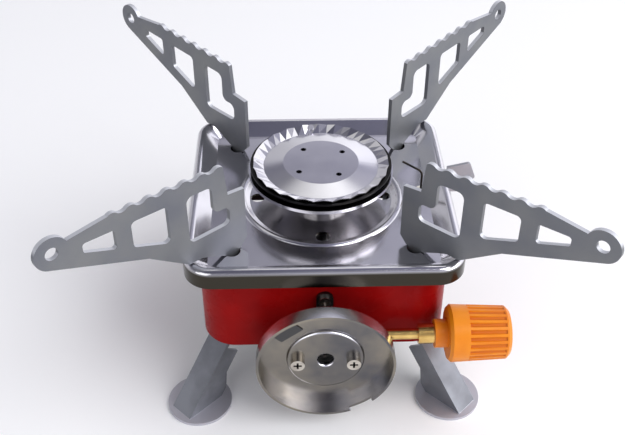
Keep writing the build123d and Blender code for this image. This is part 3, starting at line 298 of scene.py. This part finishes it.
def paint_shade_in_grooves(material):
    """Painted shade: deepen the colour at the bottom of the knob's grooves."""
    place, _ = surface(material)
    along = both(material, math_node(material, "GREATER_THAN", place[0], GROOVE_FROM_X),
                 math_node(material, "LESS_THAN", place[0], GROOVE_TO_X))
    reach = reach_from(material, place[1], place[2], KNOB_AXIS_Y, KNOB_AXIS_Z)
    deep = math_node(material, "LESS_THAN", reach, GROOVE_REACH)
    tint(material, both(material, along, deep), GROOVE_PAINTED_SHADE)


def paint_shade_on_bowl(material):
    """Painted shade: darken the bowl's neck and its outer cone below the lip."""
    place, facing = surface(material)
    outside = math_node(material, "LESS_THAN", facing[2], BOWL_OUTSIDE_BELOW)
    under = math_node(material, "LESS_THAN", place[2], BOWL_LIP_FROM)
    tint(material, both(material, outside, under), BOWL_PAINTED_SHADE)


def paint_highlight_on_feet(material):
    """Painted highlight: a lighter colour on the round feet, whose flat tops catch the light."""
    place, _ = surface(material)
    tint(material, math_node(material, "LESS_THAN", place[2], FOOT_TOP), FOOT_PAINTED_HIGHLIGHT)


def paint_highlight_upward(material, colour):
    """Painted highlight: a lighter colour on faces that look upward, for the sheen on their top edges and
    upward walls.
    """
    _, facing = surface(material)
    tint(material, smooth_step(material, facing[2], EDGE_UP_FROM, EDGE_UP_TO), colour)


def dress(material, *nodes):
    """Give CAD nodes a material."""
    for node in nodes:
        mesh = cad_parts[node].data
        mesh.materials.clear()
        mesh.materials.append(material)


def corner_nodes(*prefixes):
    """Names of the pieces that come once per corner."""
    corners = ("front_left", "front_right", "back_left", "back_right")
    return [prefix + "_" + corner for prefix in prefixes for corner in corners]


def dress_all():
    """Materials of every piece."""
    dress(textured("crown_steel", MIRROR, MIRROR_DULL, metallic=1.0, rough=(0.10, 0.20), scale=40.0),
          "burner_crown")
    bowl = textured("mirror_steel", MIRROR, MIRROR_DULL, metallic=1.0, rough=(0.12, 0.22), scale=40.0)
    paint_shade_on_bowl(bowl)
    dress(bowl, "burner_bowl")
    # The burner ring is near black: painted shade of the slot between the crown and the bowl
    dress(textured("port_steel", RING_PAINTED_SHADE, RING_PAINTED_SHADE_DULL, metallic=1.0, rough=(0.25, 0.40), scale=90.0),
          "burner_ring")
    tray = textured("tray_steel", MIRROR, MIRROR_DULL, metallic=1.0, rough=(0.12, 0.22), scale=40.0)
    paint_shade_on_skirt(tray)
    dress(tray, "top_tray")
    paint = textured("red_paint", RED, RED_DEEP, metallic=0.0, rough=(0.22, 0.34), scale=60.0,
                     relief=0.02, specular=0.05)
    paint_shade_inside(paint)
    dress(paint, "housing")
    arms = textured("zinc_arms", ZINC, ZINC_BLUE, metallic=0.6, rough=(0.40, 0.55), scale=55.0, relief=0.04)
    # Painted highlight on the arms' edges that look upward
    paint_highlight_upward(arms, ZINC_PAINTED_HIGHLIGHT)
    dress(arms, *corner_nodes("arm"))
    legs = textured("zinc_legs", LEG_ZINC, LEG_ZINC_DULL, metallic=0.7, rough=(0.36, 0.50), scale=70.0,
                    relief=0.05)
    paint_highlight_on_feet(legs)
    dress(legs, *corner_nodes("leg", "leg_bracket", "leg_pin"), "pipe_nut")
    dress(textured("zinc_lever", ZINC_PALE, ZINC_PALE_DULL, metallic=0.7, rough=(0.32, 0.46), scale=80.0,
                   relief=0.04), "igniter_lever")
    cup = textured("satin_steel", SATIN, SATIN_COOL, metallic=1.0, rough=(0.16, 0.32), scale=42.0)
    # Painted highlight on the cup's faces that look upward
    paint_highlight_upward(cup, SATIN_PAINTED_HIGHLIGHT)
    paint_shade_on_lug(cup)
    dress(cup, "connector_cup")
    dress(textured("bright_screw", SCREW, SCREW_DULL, metallic=1.0, rough=(0.14, 0.26), scale=300.0),
          "strap_screw", "piezo_screw")
    screws = textured("cup_screw", SCREW, SCREW_DULL, metallic=1.0, rough=(0.14, 0.26), scale=300.0)
    paint_shade_in_recess(screws)
    dress(screws, "connector_screw_left", "connector_screw_right")
    # Dark steel; on the arm retainers, which are zinc-plated like the arms, it is painted shade in their
    # holes
    dress(textured("dark_steel_and_shade", DARK_STEEL_AND_SHADE, DARK_STEEL_AND_SHADE_DULL, metallic=1.0, rough=(0.30, 0.45),
                   scale=200.0),
          "valve_strap", "burner_nut", "mixing_tube", *corner_nodes("arm_retainer"))
    dress(textured("brass", BRASS, BRASS_DULL, metallic=1.0, rough=(0.16, 0.30), scale=200.0),
          "valve_spindle", "knob_ferrule", "gas_jet", "jet_holder")
    knob = textured("orange_plastic", ORANGE, ORANGE_DEEP, metallic=0.0, rough=(0.28, 0.42), scale=120.0,
                    relief=0.03, specular=0.3)
    paint_shade_in_grooves(knob)
    dress(knob, "knob")
    dress(textured("cast_alloy", CAST, CAST_DULL, metallic=1.0, rough=(0.40, 0.55), scale=200.0,
                   relief=0.10),
          "valve_body", "valve_gland", "gas_pipe")
    dress(textured("dark_wire", WIRE, WIRE_RUST, metallic=1.0, rough=(0.35, 0.55), scale=300.0),
          "igniter_electrode", "inlet_pin")
    dress(textured("white_ceramic", CERAMIC, CERAMIC_WARM, metallic=0.0, rough=(0.12, 0.25), scale=200.0),
          "electrode_insulator")
    rubber = textured("black_rubber", RUBBER, RUBBER_DUSTY, metallic=0.0, rough=(0.45, 0.65), scale=300.0)
    dress(rubber, "spindle_seal", "inlet_seal", "igniter_lead", "piezo_body", "piezo_plunger")


def make_camera():
    """The photograph's camera."""
    yaw, pitch, roll = (radians(a) for a in (CAMERA_YAW, CAMERA_PITCH, CAMERA_ROLL))
    ahead = Vector((sin(yaw) * cos(pitch), cos(yaw) * cos(pitch), -sin(pitch)))
    right = Vector((cos(yaw), -sin(yaw), 0))
    up = right.cross(ahead)
    right_rolled = right * cos(roll) + up * sin(roll)
    up_rolled = up * cos(roll) - right * sin(roll)
    data = bpy.data.cameras.new("photo_camera")
    data.sensor_fit = "HORIZONTAL"
    data.sensor_width = SENSOR_W
    data.lens = SENSOR_W * CAMERA_FOCAL_PX / IMAGE_W
    data.clip_start = CAMERA_CLIP_START
    camera = bpy.data.objects.new("photo_camera", data)
    axes = Matrix((right_rolled, up_rolled, -ahead)).transposed().to_4x4()
    camera.matrix_world = Matrix.Translation(Vector(CAMERA_PLACE)) @ axes
    bpy.context.collection.objects.link(camera)
    bpy.context.scene.camera = camera


def make_lamp(name, place, size, power):
    """A square area lamp aimed at the stove."""
    data = bpy.data.lights.new(name, "AREA")
    data.size = size
    data.energy = power
    lamp = bpy.data.objects.new(name, data)
    lamp.location = place
    lamp.rotation_euler = (Vector(LAMP_TARGET) - Vector(place)).to_track_quat("-Z", "Y").to_euler()
    bpy.context.collection.objects.link(lamp)


def make_floor():
    """A wide pale floor."""
    bpy.ops.mesh.primitive_plane_add(size=FLOOR_SIZE)
    floor = bpy.context.object
    floor.name = "floor"
    material = new_material("floor_white", 0.0, FLOOR_ROUGHNESS)
    material.node_tree.nodes["Principled BSDF"].inputs["Base Color"].default_value = (*FLOOR_WHITE, 1)
    floor.data.materials.append(material)


def make_world():
    """Soft studio surroundings: pale low down, a cool grey above, a bright band high behind."""
    world = bpy.data.worlds.new("studio")
    world.use_nodes = True
    bpy.context.scene.world = world
    nodes = world.node_tree.nodes
    links = world.node_tree.links
    place = nodes.new("ShaderNodeTexCoord")
    split = nodes.new("ShaderNodeSeparateXYZ")
    links.new(place.outputs["Generated"], split.inputs["Vector"])
    mix = nodes.new("ShaderNodeMix")
    mix.data_type = "RGBA"
    behind = smooth_step(world, split.outputs["Y"], SKY_BEHIND_FROM_Y, SKY_BEHIND_TO_Y)
    links.new(behind, mix.inputs["Factor"])
    for socket, stops in (("A", SKY_BEFORE), ("B", SKY_BEHIND)):
        ramp = nodes.new("ShaderNodeValToRGB")
        for position, _ in stops[2:]:
            ramp.color_ramp.elements.new(position)
        for element, (position, colour) in zip(ramp.color_ramp.elements, stops):
            element.position = position
            element.color = (*colour, 1)
        links.new(split.outputs["Z"], ramp.inputs["Fac"])
        links.new(ramp.outputs["Color"], mix.inputs[socket])
    side = nodes.new("ShaderNodeMapRange")
    side.inputs["From Min"].default_value = SKY_LEFT_X
    side.inputs["From Max"].default_value = SKY_RIGHT_X
    side.inputs["To Min"].default_value = SKY_LEFT_LEVEL
    side.inputs["To Max"].default_value = SKY_RIGHT_LEVEL
    links.new(split.outputs["X"], side.inputs["Value"])
    links.new(mix.outputs["Result"], nodes["Background"].inputs["Color"])
    links.new(side.outputs["Result"], nodes["Background"].inputs["Strength"])


dress_all()
make_camera()
for lamp in LAMPS:
    make_lamp(*lamp)
make_floor()
make_world()
bpy.context.scene.view_settings.view_transform = "Standard"
